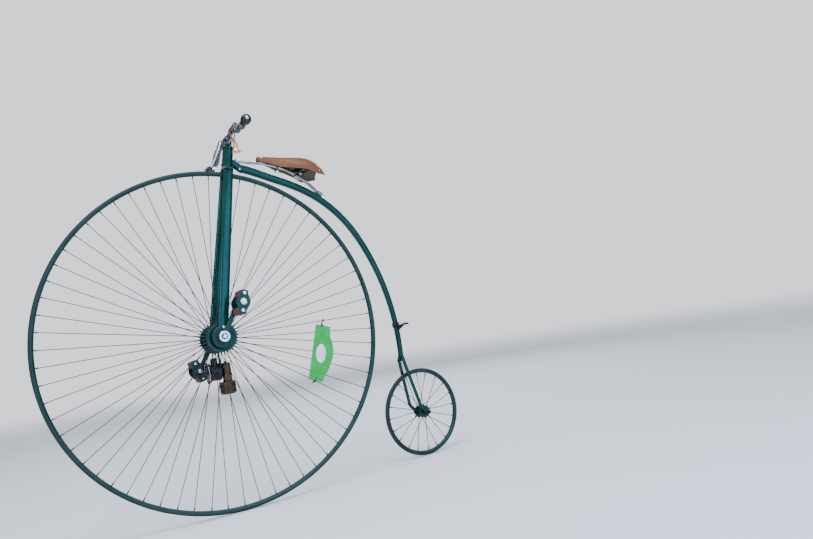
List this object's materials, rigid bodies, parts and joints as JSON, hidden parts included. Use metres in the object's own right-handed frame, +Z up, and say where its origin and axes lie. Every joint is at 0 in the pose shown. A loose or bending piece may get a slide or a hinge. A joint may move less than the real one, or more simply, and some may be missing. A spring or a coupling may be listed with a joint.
{
  "type": "penny farthing bicycle",
  "caption": "High wheel bicycle: tall driven front wheel, curved tube backbone, small rear wheel, sprung saddle, spoon brake and hub lamp.",
  "frame": {"origin": "middle of the saddle's top, where the rider sits", "axes": "+X back to the small wheel, +Y to the rider's right, +Z up, square to the line under both wheels"},
  "size_m": [1.8517, 0.7016, 1.575],
  "materials": {
    "green_paint": "gloss",
    "dark_steel": "satin",
    "nickel": "polished",
    "tyre": "matt",
    "leather": "waxed",
    "grip": "polished",
    "brass": "aged",
    "strap": "satin",
    "black": "gloss",
    "glass": "clear",
    "plate": "gloss",
    "pedal_rubber": "matt"
  },
  "bodies": {
    "frame": {"backbone": "green_paint", "head": "green_paint", "rear_fork_crown": "green_paint", "rear_fork_left": "green_paint", "rear_fork_right": "green_paint", "rear_axle": "nickel", "mounting_step": "dark_steel", "leaf_spring": "nickel", "spring_bolt": "nickel", "spring_clip": "nickel", "saddle_clamp": "nickel", "saddle_stay": "nickel", "saddle_frame": "dark_steel", "saddle_leather": "leather"},
    "steering": {"fork_crown": "green_paint", "fork_left": "green_paint", "fork_right": "green_paint", "bearing_left": "green_paint", "bearing_right": "green_paint", "bar_clamp": "nickel", "handlebar": "nickel", "grip_left": "grip", "grip_right": "grip", "bell": "brass", "bell_strap": "strap", "brake_bracket": "nickel", "brake_arm": "nickel", "brake_spoon": "dark_steel", "brake_lever": "nickel"},
    "front_wheel": {"front_tyre": "tyre", "front_rim": "green_paint", "front_hub": "green_paint", "front_spokes": "dark_steel", "crank_left": "green_paint", "crank_right": "green_paint", "crank_nut_left": "nickel", "crank_nut_right": "nickel", "pedal_pin_left": "nickel", "pedal_pin_right": "nickel", "number_plate": "plate"},
    "lamp": {"lamp_hanger": "black", "lamp_body": "black", "lamp_bezel": "nickel", "lamp_glass": "glass", "lamp_generator": "brass"},
    "pedal_left": {"pedal_left": "green_paint", "pedal_rubbers_left": "pedal_rubber"},
    "pedal_right": {"pedal_right": "green_paint", "pedal_rubbers_right": "pedal_rubber"},
    "rear_wheel": {"rear_tyre": "tyre", "rear_rim": "green_paint", "rear_hub": "green_paint", "rear_spokes": "dark_steel"}
  },
  "joints": [
    {"name": "steering", "type": "hinge", "parent": "frame", "child": "steering", "pos_m": [-0.45, 0, -0.752], "axis": [0.2079, 0, 0.9781], "range_deg": [-32.55, 47.45]},
    {"name": "front_wheel_spin", "type": "hinge", "parent": "steering", "child": "front_wheel", "pos_m": [-0.45, 0, -0.752], "axis": [0.1268, 0.9916, -0.027], "continuous": true},
    {"name": "lamp_swing", "type": "hinge", "parent": "steering", "child": "lamp", "pos_m": [-0.45, 0, -0.752], "axis": [0.1268, 0.9916, -0.027], "continuous": true},
    {"name": "pedal_left_spin", "type": "hinge", "parent": "front_wheel", "child": "pedal_left", "pos_m": [-0.37827, -0.00591, -0.63192], "axis": [0.1268, 0.9916, -0.027], "continuous": true},
    {"name": "pedal_right_spin", "type": "hinge", "parent": "front_wheel", "child": "pedal_right", "pos_m": [-0.52173, 0.00591, -0.87208], "axis": [0.1268, 0.9916, -0.027], "continuous": true},
    {"name": "rear_wheel_spin", "type": "hinge", "parent": "frame", "child": "rear_wheel", "pos_m": [0.4915, 0, -1.256], "axis": [0, 1, 0], "continuous": true}
  ]
}
